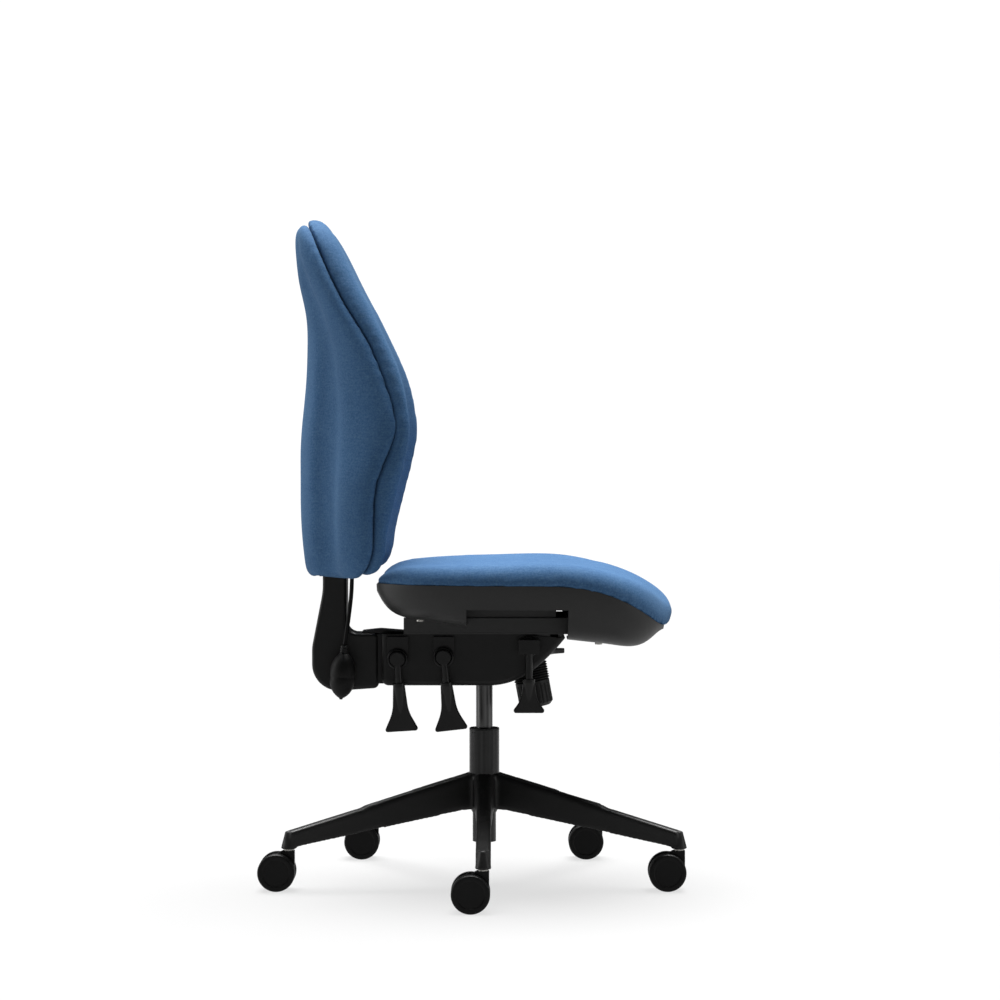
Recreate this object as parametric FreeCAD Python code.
import FreeCAD, Part
import math
import os

from FreeCAD import Vector

# Ergonomic office chair on a five-star castor base.
# Frame: millimetres, +X towards the front of the seat, +Y to the sitter's left, +Z up.
# The origin lies on the floor under the column's axis.

# Castors
LEG_COUNT = 5
FIRST_LEG_DEG = -90.0          # one leg points straight out of the right side of the chair
CASTOR_CIRCLE_R = 341.0
WHEEL_R = 31.2
WHEEL_WIDTH = 17.0
WHEEL_RIM = 4.0
WHEEL_FACE = 3.0
WHEEL_GAP = 17.0               # between the two wheels of a castor
CASTOR_TRAIL = 20.0
AXLE_R = 4.0
STEM_R = 5.5
STEM_BOSS_R = 9.5
STEM_IN_LEG = 22.0
COLLAR_R = 8.0
COLLAR_HEIGHT = 2.5
RUNNING_CLEARANCE = 0.05       # radial, between a pin and the bore that turns on it
SOFT_CLEARANCE = 0.4           # between faces of pieces that pass or rest beside each other
GAP_BESIDE_WHEEL = 0.7

# Star base
LEG_TIP_HEIGHT = 29.5
LEG_RISE = 55.3                # from the underside of a leg tip to the underside of the hub
LEG_TIP_WIDTH = 24.0
LEG_ROOT_WIDTH = 34.0
LEG_WALL = 3.5
LEG_RIB = 2.5
LEG_RIBS = 5
LEG_STRIP_HEIGHT = 2.2         # raised strip along the inner part of each leg
LEG_STRIP_END = 212.0
LEG_TIP_FOOT_R = 13.5
HUB_R = 33.0
HUB_HEIGHT = 58.3
HUB_FILLET = 3.0

# Gas lift
TUBE_R = 25.4
TUBE_WALL = 3.0
TUBE_EXPOSED = 75.5            # stand tube above the hub
TUBE_TAPER = 1.2               # the tube narrows by this much inside the hub
TUBE_FOOT_R = 19.8             # swaged lower end below the hub
TUBE_FOOT_LENGTH = 56.2
TUBE_FLOOR = 3.0
COLLAR_RIM = 3.0               # guide bush rim on top of the stand tube
BUSH_LENGTH = 84.0
CYLINDER_R = 14.0
CYLINDER_WALL = 3.0
CYLINDER_EXPOSED = 75.2        # between the stand tube and the mechanism
CYLINDER_IN_TUBE = 101.0
CYLINDER_TAPER = 0.7
CYLINDER_CAP = 12.0
ROD_R = 5.0
ROD_ABOVE_FLOOR = 202.0
PISTON_LENGTH = 10.0
BEARING_R = 15.0
BEARING_RING = 2.5
VALVE_PIN_R = 3.5
VALVE_PIN_OUT = 6.0

# Mechanism
MECH_DEPTH = 86.8              # height of the housing
MECH_HALF_WIDTH = 58.0
MECH_WALL = 3.0
MECH_REAR_X = -172.0
MECH_FRONT_X = 136.0
MECH_BOTTOM_FRONT_X = 15.0     # where the flat underside starts to sweep up
MECH_FRONT_DROP = 7.0          # the front rim is lower, to let the seat plate tip forward
MECH_EDGE_R = 8.0
CHASSIS_HALF_WIDTH = 44.0
CHASSIS_PLATE = 4.0
SOCKET_R = 20.0
SEAT_PIVOT_X = 100.0
SEAT_PIVOT_BELOW_TOP = 13.0
SEAT_PIN_R = 5.0
BACK_PIVOT_X = -122.0
BACK_PIVOT_BELOW_TOP = 48.0
BACK_PIN_R = 6.0
BACK_EYE_R = 13.0
ROCKER_PIVOT_X = 27.0
ROCKER_PIN_R = 3.0

# Tension adjuster
KNOB_X = 81.0
KNOB_Z_BELOW_TOP = 82.5
KNOB_TILT_DEG = 10.5
KNOB_R = 29.0
KNOB_LENGTH = 44.0
KNOB_FLUTES = 22
KNOB_FLUTE_R = 2.6
BELLOWS_R = 30.0
BELLOWS_RIBS = 7
BELLOWS_PITCH = 4.2
BELLOWS_RIB_DEPTH = 2.4
BOLT_R = 5.0

# Levers
LEVER_SHAFT_R = 6.0
LEVER_HEAD_R = 12.0
LEVER_BUSH_R = 17.5
LEVER_BUSH_DEPTH = 12.0
LEVER_HEAD_DEPTH = 13.5
LEVER_ROD_R = 6.0
PADDLE_LENGTH = 74.5
PADDLE_TOP_WIDTH = 20.0
PADDLE_WIDTH = 59.0
PADDLE_THICKNESS = 9.0
PADDLE_EDGE_R = 2.0
BACK_LEVER_X = -145.0
SEAT_LEVER_X = -68.0
HEIGHT_LEVER_X = 75.0
SLIDE_LEVER_X = 90.0

# Seat plate and slide
PLATE_LIFT = 2.5               # gap between the housing rim and the seat plate
PLATE_THICKNESS = 3.0
PLATE_REAR_X = -133.5
PLATE_FRONT_X = 143.0
RAIL_Y = 93.0                  # centre of each slide rail
RAIL_WIDTH = 18.0
RAIL_HEIGHT = 24.0
RAIL_WALL = 3.0
RAIL_SLOT = 8.0
RUNNER_CLEARANCE = 0.6
SEAT_TRAVEL = 60.0

# Seat
SEAT_REAR_X = -178.0
SEAT_DEPTH = 493.0
SEAT_WIDTH = 520.0
BOARD_LIFT = 48.0              # from the rail tops to the underside of the seat board
BOARD_THICKNESS = 12.0
SEAM_ABOVE_BOARD = 0.4
SHELL_WALL = 3.0
SHELL_CLEAR_OF_RAIL = 4.0
ARM_NOTCH_X = (-28.0, 137.0)
ARM_NOTCH_BELOW_SEAM = 40.0
ARM_HOLES_X = (15.0, 85.0)
ARM_HOLES_Y = (130.0, 170.0)
INSERT_R = 5.5
INSERT_BORE_R = 3.4
SCREW_R = 3.0

# Back arm
ARM_HALF_WIDTH = 31.0
ARM_TONGUE = 12.0               # how far the cover reaches into the housing
BAR_HALF_WIDTH = 22.0
BAR_THICKNESS = 8.0
UPRIGHT_X = -252.2
UPRIGHT_THICKNESS = 40.4
ARM_HEEL_X = -290.7
ARM_FRONT_X = -178.0
ARM_TOP_RUN = 95.0             # upright cover above the seam of the seat
BAR_TOP_RUN = 228.0            # bare bar above the seam of the seat
BACK_TRAVEL = 70.0

# Backrest
BACK_ABOVE_SEAM = 2.0
BACK_HEIGHT = 605.0
BACK_WIDTH = 462.0
BACK_BOARD = 8.0
BACK_SEAM_GAP = 0.8
UNDERCUT_RISE = 34.0           # the front pad's underside slopes up by this much towards the front
PAD_CLEARANCE = 0.5
BOARD_CLEARANCE = 1.0          # between the back's plywood and the front pad
CAVITY_HALF_WIDTH = 36.0

# Lumbar pump
HOSE_R = 3.5
BULB_R = 20.0
BULB_TIP_R = 3.4
BULB_COLLAR = 12.0
BULB_LENGTH = 76.0

# Heights that follow from the sizes above
HOOD_TOP = 2 * WHEEL_R + 4.0
TIP_BOTTOM = HOOD_TOP + COLLAR_HEIGHT
TIP_TOP = TIP_BOTTOM + LEG_TIP_HEIGHT
HUB_BOTTOM = TIP_BOTTOM + LEG_RISE
HUB_TOP = HUB_BOTTOM + HUB_HEIGHT
TUBE_TOP = HUB_TOP + TUBE_EXPOSED
TUBE_BOTTOM = HUB_BOTTOM - TUBE_FOOT_LENGTH
MECH_BOTTOM = TUBE_TOP + COLLAR_RIM + CYLINDER_EXPOSED
MECH_TOP = MECH_BOTTOM + MECH_DEPTH
PLATE_Z = MECH_TOP + PLATE_LIFT
RAIL_Z = PLATE_Z + PLATE_THICKNESS
RAIL_TOP = RAIL_Z + RAIL_HEIGHT
BOARD_Z = RAIL_TOP + BOARD_LIFT
BOARD_TOP = BOARD_Z + BOARD_THICKNESS
SEAM_Z = BOARD_TOP + SEAM_ABOVE_BOARD
SEAT_FRONT_X = SEAT_REAR_X + SEAT_DEPTH
BACK_Z = SEAM_Z + BACK_ABOVE_SEAM
SEAT_PIVOT_Z = MECH_TOP - SEAT_PIVOT_BELOW_TOP
BACK_PIVOT_Z = MECH_TOP - BACK_PIVOT_BELOW_TOP

UP = Vector(0, 0, 1)
LEFT = Vector(0, 1, 0)


# Small drawing helpers
def cylinder(radius, start, end):
    """A round bar between two points."""
    start, end = Vector(*start), Vector(*end)
    return Part.makeCylinder(radius, (end - start).Length, start, end - start)


def cone(radius_start, radius_end, start, end):
    start, end = Vector(*start), Vector(*end)
    return Part.makeCone(radius_start, radius_end, (end - start).Length, start, end - start)


def block(low, high):
    size = Vector(*high) - Vector(*low)
    return Part.makeBox(size.x, size.y, size.z, Vector(*low))


def path(points):
    """A closed wire. Each item is a point, or a pair (point passed, point reached) for an arc."""
    edges = []
    here = Vector(*points[0])
    for item in points[1:] + [points[0]]:
        if isinstance(item[0], (tuple, list)):
            middle, there = Vector(*item[0]), Vector(*item[1])
            edges.append(Part.Arc(here, middle, there).toShape())
        else:
            there = Vector(*item)
            if (there - here).Length < 1e-6:
                continue
            edges.append(Part.LineSegment(here, there).toShape())
        here = there
    return Part.Wire(edges)


def in_xz(items, y):
    """Lifts (x, z) items of an outline into the plane at y."""
    lifted = []
    for item in items:
        if isinstance(item[0], (tuple, list)):
            lifted.append(tuple((x, y, z) for x, z in item))
        else:
            lifted.append((item[0], y, item[1]))
    return lifted


def rounded(corners):
    """Outline items through (x, z, radius) corners, with a tangent arc at each rounded corner."""
    items = []
    count = len(corners)
    for number, (x, z, radius) in enumerate(corners):
        here = Vector(x, 0, z)
        if radius == 0.0:
            items.append((x, z))
            continue
        before, after = corners[number - 1], corners[(number + 1) % count]
        way_in = (Vector(before[0], 0, before[1]) - here).normalize()
        way_out = (Vector(after[0], 0, after[1]) - here).normalize()
        half = way_in.getAngle(way_out) / 2
        start, end = here + way_in * (radius / math.tan(half)), here + way_out * (radius / math.tan(half))
        middle = here + (way_in + way_out).normalize() * (radius / math.sin(half) - radius)
        items += [(start.x, start.z), ((middle.x, middle.z), (end.x, end.z))]
    return items


def slab(items, y_low, y_high):
    """An outline in the side view, extruded across the chair."""
    face = Part.Face(path(in_xz(items, y_low)))
    return face.extrude(Vector(0, y_high - y_low, 0))


def turned(items, base, axis):
    """A radius and height outline spun round the axis."""
    face = Part.Face(path(in_xz(items, 0)))
    solid = face.revolve(Vector(0, 0, 0), UP, 360)
    return placed(solid, base, axis)


def placed(shape, base, axis):
    """Moves a shape drawn along +Z to stand at base along the axis."""
    moved = shape.copy()
    moved.Placement = FreeCAD.Placement(Vector(*base), FreeCAD.Rotation(UP, Vector(*axis)))
    return moved


def mirrored(shape):
    return shape.mirror(Vector(0, 0, 0), LEFT)


def blend(stations, position, column):
    """Reads a column of a station list at a position, along straight lines between stations."""
    for low, high in zip(stations, stations[1:]):
        if low[0] <= position <= high[0]:
            share = (position - low[0]) / (high[0] - low[0])
            return low[column] + share * (high[column] - low[column])
    return stations[-1][column] if position > stations[-1][0] else stations[0][column]


# Castors, drawn for a stem on the Z axis and moved to each leg
def castor_pieces():
    axle_x, axle_z = -CASTOR_TRAIL, WHEEL_R
    inner = WHEEL_GAP / 2
    outer = inner + WHEEL_WIDTH
    bore_end = outer - 2 * WHEEL_FACE
    rounding = WHEEL_RIM
    hub = AXLE_R + WHEEL_RIM
    wheel = turned([(AXLE_R + RUNNING_CLEARANCE, inner), (hub, inner),
                    (hub, outer - WHEEL_FACE), (WHEEL_R - WHEEL_RIM, outer - WHEEL_FACE),
                    (WHEEL_R - WHEEL_RIM, inner), (WHEEL_R, inner),
                    (WHEEL_R, outer - rounding),
                    ((WHEEL_R - 0.3 * rounding, outer - 0.3 * rounding),
                     (WHEEL_R - rounding, outer)),
                    (WHEEL_R - 2 * rounding, outer), (WHEEL_R - 2.3 * rounding, outer - 0.8),
                    (0.01, outer - 0.8), (0.01, bore_end),
                    (AXLE_R + RUNNING_CLEARANCE, bore_end)],
                   (axle_x, 0, axle_z), (0, 1, 0))
    wheels = Part.makeCompound([wheel, mirrored(wheel)])

    half = inner - GAP_BESIDE_WHEEL
    reach = WHEEL_R - 1.5
    boss_front = STEM_BOSS_R
    dome = reach * math.sin(math.radians(45))
    side = [(axle_x - reach, axle_z), ((axle_x - dome, axle_z + dome), (axle_x, axle_z + reach)),
            (-boss_front, HOOD_TOP), (boss_front, HOOD_TOP), (boss_front, axle_z),
            (axle_x + hub, axle_z - hub), (axle_x - hub, axle_z - hub)]
    hood = slab(side, -half, half)
    hood = hood.cut(cylinder(AXLE_R, (axle_x, -outer, axle_z), (axle_x, outer, axle_z)))
    stem_bottom = axle_z + 2 * AXLE_R
    hood = hood.cut(cylinder(STEM_R, (0, 0, stem_bottom), (0, 0, HOOD_TOP)))

    stem = cylinder(STEM_R, (0, 0, stem_bottom), (0, 0, TIP_BOTTOM + STEM_IN_LEG))
    collar = cylinder(COLLAR_R, (0, 0, HOOD_TOP), (0, 0, TIP_BOTTOM - SOFT_CLEARANCE))
    axle = cylinder(AXLE_R, (axle_x, 0.5 - bore_end, axle_z), (axle_x, bore_end - 0.5, axle_z))
    pins = Part.makeCompound([stem.fuse(collar).removeSplitter(), axle])
    return {"hood": hood, "pins": pins, "wheels": wheels}


def leg_positions():
    for number in range(LEG_COUNT):
        angle = math.radians(FIRST_LEG_DEG + number * 360.0 / LEG_COUNT)
        yield number + 1, math.cos(angle), math.sin(angle)


# Star base
def leg_section(reach, width, low, high, corner):
    """One cross-section of a leg, with its two upper edges rounded."""
    half = width / 2
    bend = corner * (1 - math.sqrt(0.5))
    return path([(reach, -half, low), (reach, half, low), (reach, half, high - corner),
                 ((reach, half - bend, high - bend), (reach, half - corner, high)),
                 (reach, corner - half, high),
                 ((reach, bend - half, high - bend), (reach, -half, high - corner))])


def leg_line(reach):
    """Underside, top and width of a leg at a distance from the column."""
    share = (reach - HUB_R) / (CASTOR_CIRCLE_R - HUB_R)
    low = HUB_BOTTOM + share * (TIP_BOTTOM + 2.0 - HUB_BOTTOM)
    high = HUB_TOP - 2.0 + share * (TIP_TOP - HUB_TOP + 2.0)
    width = LEG_TIP_WIDTH + max(0.0, 1.0 - 3.0 * share) * (LEG_ROOT_WIDTH - LEG_TIP_WIDTH)
    return low, high, width


def leg_loft(reaches, inset):
    sections = []
    for reach in reaches:
        low, high, width = leg_line(reach)
        drop = 2.0 if inset else 0.0
        sections.append(leg_section(reach, width - 2 * inset, low - drop, high - inset, 5.0 - inset))
    return Part.makeLoft(sections, True, True)


def star_base():
    shoulder = HUB_R + (CASTOR_CIRCLE_R - HUB_R) / 3
    leg = leg_loft((TUBE_R, shoulder, CASTOR_CIRCLE_R), 0.0)
    pocket = leg_loft((HUB_R + 8.0, shoulder, CASTOR_CIRCLE_R - 20.0), LEG_WALL)
    run = CASTOR_CIRCLE_R - HUB_R - 40.0
    ribs = [block((HUB_R + 8.0 + run * (n + 1) / (LEG_RIBS + 1), -LEG_ROOT_WIDTH, TIP_BOTTOM + 6.0),
                  (HUB_R + 8.0 + run * (n + 1) / (LEG_RIBS + 1) + LEG_RIB, LEG_ROOT_WIDTH, HUB_TOP))
            for n in range(LEG_RIBS)]
    leg = leg.cut(pocket.cut(ribs))
    strip_sections = []
    for reach in (TUBE_R, LEG_STRIP_END):
        low, high, width = leg_line(reach)
        strip_sections.append(leg_section(reach, width - 7.0, high - 3.0, high + LEG_STRIP_HEIGHT, 2.0))
    strip = Part.makeLoft(strip_sections, True, True)
    foot = cone(LEG_TIP_FOOT_R, LEG_TIP_WIDTH / 4,
                (CASTOR_CIRCLE_R, 0, TIP_BOTTOM), (CASTOR_CIRCLE_R, 0, TIP_TOP))
    leg = leg.fuse([strip, foot])
    hub = turned([(TUBE_R - 4.0, HUB_BOTTOM), (HUB_R, HUB_BOTTOM), (HUB_R, HUB_TOP - HUB_FILLET),
                  ((HUB_R - 0.3 * HUB_FILLET, HUB_TOP - 0.3 * HUB_FILLET),
                   (HUB_R - HUB_FILLET, HUB_TOP)), (TUBE_R - 4.0, HUB_TOP)], (0, 0, 0), (0, 0, 1))
    legs, sockets = [], []
    for number, along, across in leg_positions():
        turned_leg = leg.copy()
        turned_leg.rotate(Vector(0, 0, 0), UP, math.degrees(math.atan2(across, along)))
        legs.append(turned_leg)
        x, y = CASTOR_CIRCLE_R * along, CASTOR_CIRCLE_R * across
        sockets.append(cylinder(STEM_R + RUNNING_CLEARANCE, (x, y, TIP_BOTTOM - 5.0),
                                (x, y, TIP_BOTTOM + STEM_IN_LEG + 2.0)))
    bore = cone(TUBE_R - TUBE_TAPER, TUBE_R, (0, 0, HUB_BOTTOM), (0, 0, HUB_TOP))
    return hub.fuse(legs).cut([bore] + sockets).removeSplitter()


# Gas lift
def stand_tube():
    foot_inner = TUBE_FOOT_R - TUBE_WALL
    inner = TUBE_R - TUBE_WALL
    return turned([(ROD_R + RUNNING_CLEARANCE, TUBE_BOTTOM), (TUBE_FOOT_R, TUBE_BOTTOM),
                   (TUBE_FOOT_R, HUB_BOTTOM - 8.0), (TUBE_R - TUBE_TAPER, HUB_BOTTOM),
                   (TUBE_R, HUB_TOP), (TUBE_R, TUBE_TOP), (inner, TUBE_TOP),
                   (inner, HUB_BOTTOM + 8.0), (foot_inner, HUB_BOTTOM - 2.0),
                   (foot_inner, TUBE_BOTTOM + TUBE_FLOOR),
                   (ROD_R + RUNNING_CLEARANCE, TUBE_BOTTOM + TUBE_FLOOR)], (0, 0, 0), (0, 0, 1))


def guide_bush():
    inner = CYLINDER_R + RUNNING_CLEARANCE
    outer = TUBE_R - TUBE_WALL
    return turned([(inner, TUBE_TOP - BUSH_LENGTH), (outer, TUBE_TOP - BUSH_LENGTH),
                   (outer, TUBE_TOP), (TUBE_R, TUBE_TOP), (TUBE_R, TUBE_TOP + COLLAR_RIM - 1.0),
                   (TUBE_R - 1.0, TUBE_TOP + COLLAR_RIM), (inner, TUBE_TOP + COLLAR_RIM)],
                  (0, 0, 0), (0, 0, 1))


BEARING_Z = TUBE_BOTTOM + TUBE_FLOOR


def thrust_bearing():
    rings = []
    for number, inset in enumerate((0.0, 2.5, 0.0)):
        low = BEARING_Z + number * BEARING_RING
        rings.append(turned([(ROD_R + 0.5 + inset, low), (BEARING_R - inset, low),
                             (BEARING_R - inset, low + BEARING_RING),
                             (ROD_R + 0.5 + inset, low + BEARING_RING)], (0, 0, 0), (0, 0, 1)))
    return Part.makeCompound(rings)


def piston_rod():
    top = TUBE_BOTTOM + ROD_ABOVE_FLOOR
    bottom = TUBE_BOTTOM - 6.0
    seat = BEARING_Z + 3 * BEARING_RING + SOFT_CLEARANCE
    rod = cylinder(ROD_R, (0, 0, bottom), (0, 0, top))
    shoulder = cylinder(ROD_R + 4.0, (0, 0, seat), (0, 0, seat + 4.0))
    piston = cylinder(CYLINDER_R - CYLINDER_WALL - RUNNING_CLEARANCE,
                      (0, 0, top - PISTON_LENGTH), (0, 0, top))
    clip = cylinder(ROD_R + 3.5, (0, 0, TUBE_BOTTOM - 4.0), (0, 0, TUBE_BOTTOM - SOFT_CLEARANCE))
    clip = clip.cut(cylinder(ROD_R, (0, 0, bottom), (0, 0, TUBE_BOTTOM)))
    return Part.makeCompound([rod.fuse([shoulder, piston]).removeSplitter(), clip])


SOCKET_BOTTOM = MECH_BOTTOM + MECH_WALL
SOCKET_TOP = MECH_TOP - 30.0
CYLINDER_TOP = SOCKET_TOP - 1.0


def gas_cylinder():
    bottom = TUBE_TOP + COLLAR_RIM - CYLINDER_IN_TUBE
    inner = CYLINDER_R - CYLINDER_WALL
    bore = ROD_R + RUNNING_CLEARANCE
    pin = VALVE_PIN_R + RUNNING_CLEARANCE
    roof = CYLINDER_TOP - 14.0
    return turned([(bore, bottom), (CYLINDER_R - 1.0, bottom), (CYLINDER_R, bottom + 1.0),
                   (CYLINDER_R, SOCKET_BOTTOM), (CYLINDER_R - CYLINDER_TAPER, CYLINDER_TOP),
                   (pin, CYLINDER_TOP), (pin, roof), (inner, roof), (inner, bottom + CYLINDER_CAP),
                   (bore, bottom + CYLINDER_CAP)], (0, 0, 0), (0, 0, 1))


def valve_pin():
    return cylinder(VALVE_PIN_R, (0, 0, CYLINDER_TOP - 9.0), (0, 0, CYLINDER_TOP + VALVE_PIN_OUT))


# Mechanism
def mech_outline():
    low, high = MECH_BOTTOM, MECH_TOP
    rear, flat = MECH_REAR_X, MECH_BOTTOM_FRONT_X
    run = MECH_FRONT_X - flat
    return [(rear, high), (rear, low + 12.0), ((rear + 3.5, low + 3.5), (rear + 12.0, low)),
            (flat, low), ((flat + 0.31 * run, low + 0.10 * MECH_DEPTH),
                          (flat + 0.55 * run, low + 0.29 * MECH_DEPTH)),
            ((flat + 0.79 * run, low + 0.59 * MECH_DEPTH), (MECH_FRONT_X, high - MECH_FRONT_DROP)),
            (flat + 0.37 * run, high)]


def mech_block():
    solid = slab(mech_outline(), -MECH_HALF_WIDTH, MECH_HALF_WIDTH)
    rounded = []
    for edge in solid.Edges:
        ends = [vertex.Point for vertex in edge.Vertexes]
        on_side = all(abs(abs(p.y) - MECH_HALF_WIDTH) < 0.01 for p in ends)
        along_side = abs(ends[0].y - ends[-1].y) < 0.01
        below_rim = min(p.z for p in ends) < MECH_TOP - MECH_FRONT_DROP - 1.0
        if on_side and along_side and below_rim:
            rounded.append(edge)
    return solid.makeFillet(MECH_EDGE_R, rounded)


def knob_axis():
    tilt = math.radians(KNOB_TILT_DEG)
    return Vector(math.sin(tilt), 0, -math.cos(tilt))


def on_knob_axis(distance):
    """A point on the tension bolt; zero is the knob's upper face, positive is down."""
    return tuple(Vector(KNOB_X, 0, MECH_TOP - KNOB_Z_BELOW_TOP) + knob_axis() * distance)


LEVER_Z = {"back": MECH_TOP - 41.0, "seat": MECH_TOP - 38.0, "height": MECH_TOP - 20.0,
           "slide": MECH_TOP - 43.0}
LEVER_X = {"back": BACK_LEVER_X, "seat": SEAT_LEVER_X, "height": HEIGHT_LEVER_X,
           "slide": SLIDE_LEVER_X}
SLIDE_HINGE_Y = MECH_HALF_WIDTH + 8.0


def mech_housing():
    outer = mech_block()
    face = Part.Face(path(in_xz(mech_outline(), MECH_WALL - MECH_HALF_WIDTH)))
    inner = Part.Face(face.makeOffset2D(-MECH_WALL).OuterWire)
    room = inner.extrude(Vector(0, 2 * (MECH_HALF_WIDTH - MECH_WALL), 0))
    lifted = room.copy()
    lifted.translate(Vector(0, 0, 2 * MECH_WALL))
    arm_slot = block((MECH_REAR_X - 5.0, -ARM_HALF_WIDTH - 4.0, MECH_BOTTOM - 5.0),
                     (MECH_REAR_X + 34.0, ARM_HALF_WIDTH + 4.0, MECH_TOP + 5.0))
    column = cylinder(CYLINDER_R + 8.0, (0, 0, MECH_BOTTOM - 5.0), (0, 0, SOCKET_BOTTOM + 1.0))
    bolt_hole = cylinder(BOLT_R + 4.0, on_knob_axis(0.0), on_knob_axis(-50.0))
    shaft_holes = [cylinder(LEVER_SHAFT_R + 0.5, (LEVER_X[name], -MECH_HALF_WIDTH - 5.0, LEVER_Z[name]),
                            (LEVER_X[name], 0, LEVER_Z[name])) for name in ("back", "seat", "height")]
    return outer.cut([room, lifted, arm_slot, column, bolt_hole] + shaft_holes).removeSplitter()


def mech_chassis():
    plate_low, plate_high = MECH_BOTTOM + MECH_WALL, MECH_TOP - 3.0
    seat_x, back_x = SEAT_PIVOT_X, BACK_PIVOT_X
    ear = 2.2 * SEAT_PIN_R
    side = [(back_x - 18.0, plate_high), (back_x - 18.0, plate_low + 6.0), (back_x - 12.0, plate_low),
            (MECH_BOTTOM_FRONT_X, plate_low), (seat_x - 25.0, SEAT_PIVOT_Z - 3.2 * SEAT_PIN_R),
            (seat_x + ear - 3.0, SEAT_PIVOT_Z - ear + 2.0), (seat_x + ear, SEAT_PIVOT_Z),
            (seat_x + 4.0, MECH_TOP - MECH_FRONT_DROP), (seat_x - 20.0, plate_high)]
    near = slab(side, -CHASSIS_HALF_WIDTH - CHASSIS_PLATE, -CHASSIS_HALF_WIDTH)
    floor = block((back_x + 4.0, -CHASSIS_HALF_WIDTH, plate_low),
                  (MECH_BOTTOM_FRONT_X, CHASSIS_HALF_WIDTH, plate_low + CHASSIS_PLATE))
    rest = block((back_x + 12.0, -CHASSIS_HALF_WIDTH, plate_high - 12.0),
                 (back_x + 22.0, CHASSIS_HALF_WIDTH, PLATE_Z - SOFT_CLEARANCE))
    anchor_at = on_knob_axis(-55.0)
    anchor = block((anchor_at[0] - 10.0, -CHASSIS_HALF_WIDTH, anchor_at[2] - 6.0),
                   (anchor_at[0] + 8.0, CHASSIS_HALF_WIDTH, anchor_at[2] + 6.0))
    socket = cylinder(SOCKET_R, (0, 0, plate_low), (0, 0, SOCKET_TOP))
    ears = [block((8.0, y, SOCKET_TOP - 14.0), (ROCKER_PIVOT_X + 9.0, y + 3.0, ROCKER_Z + 8.0))
            for y in (CYLINDER_R, -CYLINDER_R - 3.0)]
    body = near.fuse([mirrored(near), floor, rest, anchor, socket] + ears)
    bore = cone(CYLINDER_R, CYLINDER_R - CYLINDER_TAPER, (0, 0, SOCKET_BOTTOM), (0, 0, CYLINDER_TOP))
    mouth = cylinder(CYLINDER_R - CYLINDER_TAPER - 2.0, (0, 0, CYLINDER_TOP), (0, 0, SOCKET_TOP + 1.0))
    return body.cut([bore, mouth, bolt()] + pivot_pins().Solids).removeSplitter()


ROCKER_Z = SOCKET_TOP + 10.0


def pivot_pins():
    reach = CHASSIS_HALF_WIDTH + CHASSIS_PLATE
    seat_pin = cylinder(SEAT_PIN_R, (SEAT_PIVOT_X, -reach - 6.0, SEAT_PIVOT_Z),
                        (SEAT_PIVOT_X, reach + 6.0, SEAT_PIVOT_Z))
    back_pin = cylinder(BACK_PIN_R, (BACK_PIVOT_X, -reach - 1.0, BACK_PIVOT_Z),
                        (BACK_PIVOT_X, reach + 1.0, BACK_PIVOT_Z))
    rocker_pin = cylinder(ROCKER_PIN_R, (ROCKER_PIVOT_X, -CYLINDER_R - 3.0, ROCKER_Z),
                          (ROCKER_PIVOT_X, CYLINDER_R + 3.0, ROCKER_Z))
    slide_pin = cylinder(ROCKER_PIN_R, (SLIDE_LEVER_X - 12.0, SLIDE_HINGE_Y, LEVER_Z["slide"]),
                         (SLIDE_LEVER_X + 12.0, SLIDE_HINGE_Y, LEVER_Z["slide"]))
    return Part.makeCompound([seat_pin, back_pin, rocker_pin, slide_pin])


def release_rocker():
    """The small lever that presses the valve pin of the gas lift."""
    under = CYLINDER_TOP + VALVE_PIN_OUT + SOFT_CLEARANCE
    ring = ROCKER_PIN_R + 4.0
    arm = block((-8.0, -10.0, under), (ROCKER_PIVOT_X, 10.0, under + 5.0))
    eye = cylinder(ring, (ROCKER_PIVOT_X, SOFT_CLEARANCE - CYLINDER_R, ROCKER_Z),
                   (ROCKER_PIVOT_X, CYLINDER_R - SOFT_CLEARANCE, ROCKER_Z))
    hole = cylinder(ROCKER_PIN_R + RUNNING_CLEARANCE, (ROCKER_PIVOT_X, -CYLINDER_R, ROCKER_Z),
                    (ROCKER_PIVOT_X, CYLINDER_R, ROCKER_Z))
    return arm.fuse(eye).cut(hole).removeSplitter()


# Tension adjuster
def bolt():
    return cylinder(BOLT_R, on_knob_axis(30.0), on_knob_axis(-62.0))


def tension_knob():
    edge = 6.0
    body = turned([(0.01, 0), (KNOB_R - 1.0, 0), (KNOB_R, 1.0), (KNOB_R, KNOB_LENGTH - edge),
                   (KNOB_R - edge, KNOB_LENGTH), (0.01, KNOB_LENGTH)], (0, 0, 0), (0, 0, 1))
    flutes = []
    for number in range(KNOB_FLUTES):
        angle = 2 * math.pi * number / KNOB_FLUTES
        x, y = (KNOB_R + 1.2) * math.cos(angle), (KNOB_R + 1.2) * math.sin(angle)
        flutes.append(cylinder(KNOB_FLUTE_R, (x, y, 5.0), (x, y, KNOB_LENGTH + 1.0)))
    bore = cylinder(BOLT_R + RUNNING_CLEARANCE, (0, 0, -1.0), (0, 0, 31.0))
    return placed(body.cut(flutes + [bore]), on_knob_axis(0.0), tuple(knob_axis()))


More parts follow.
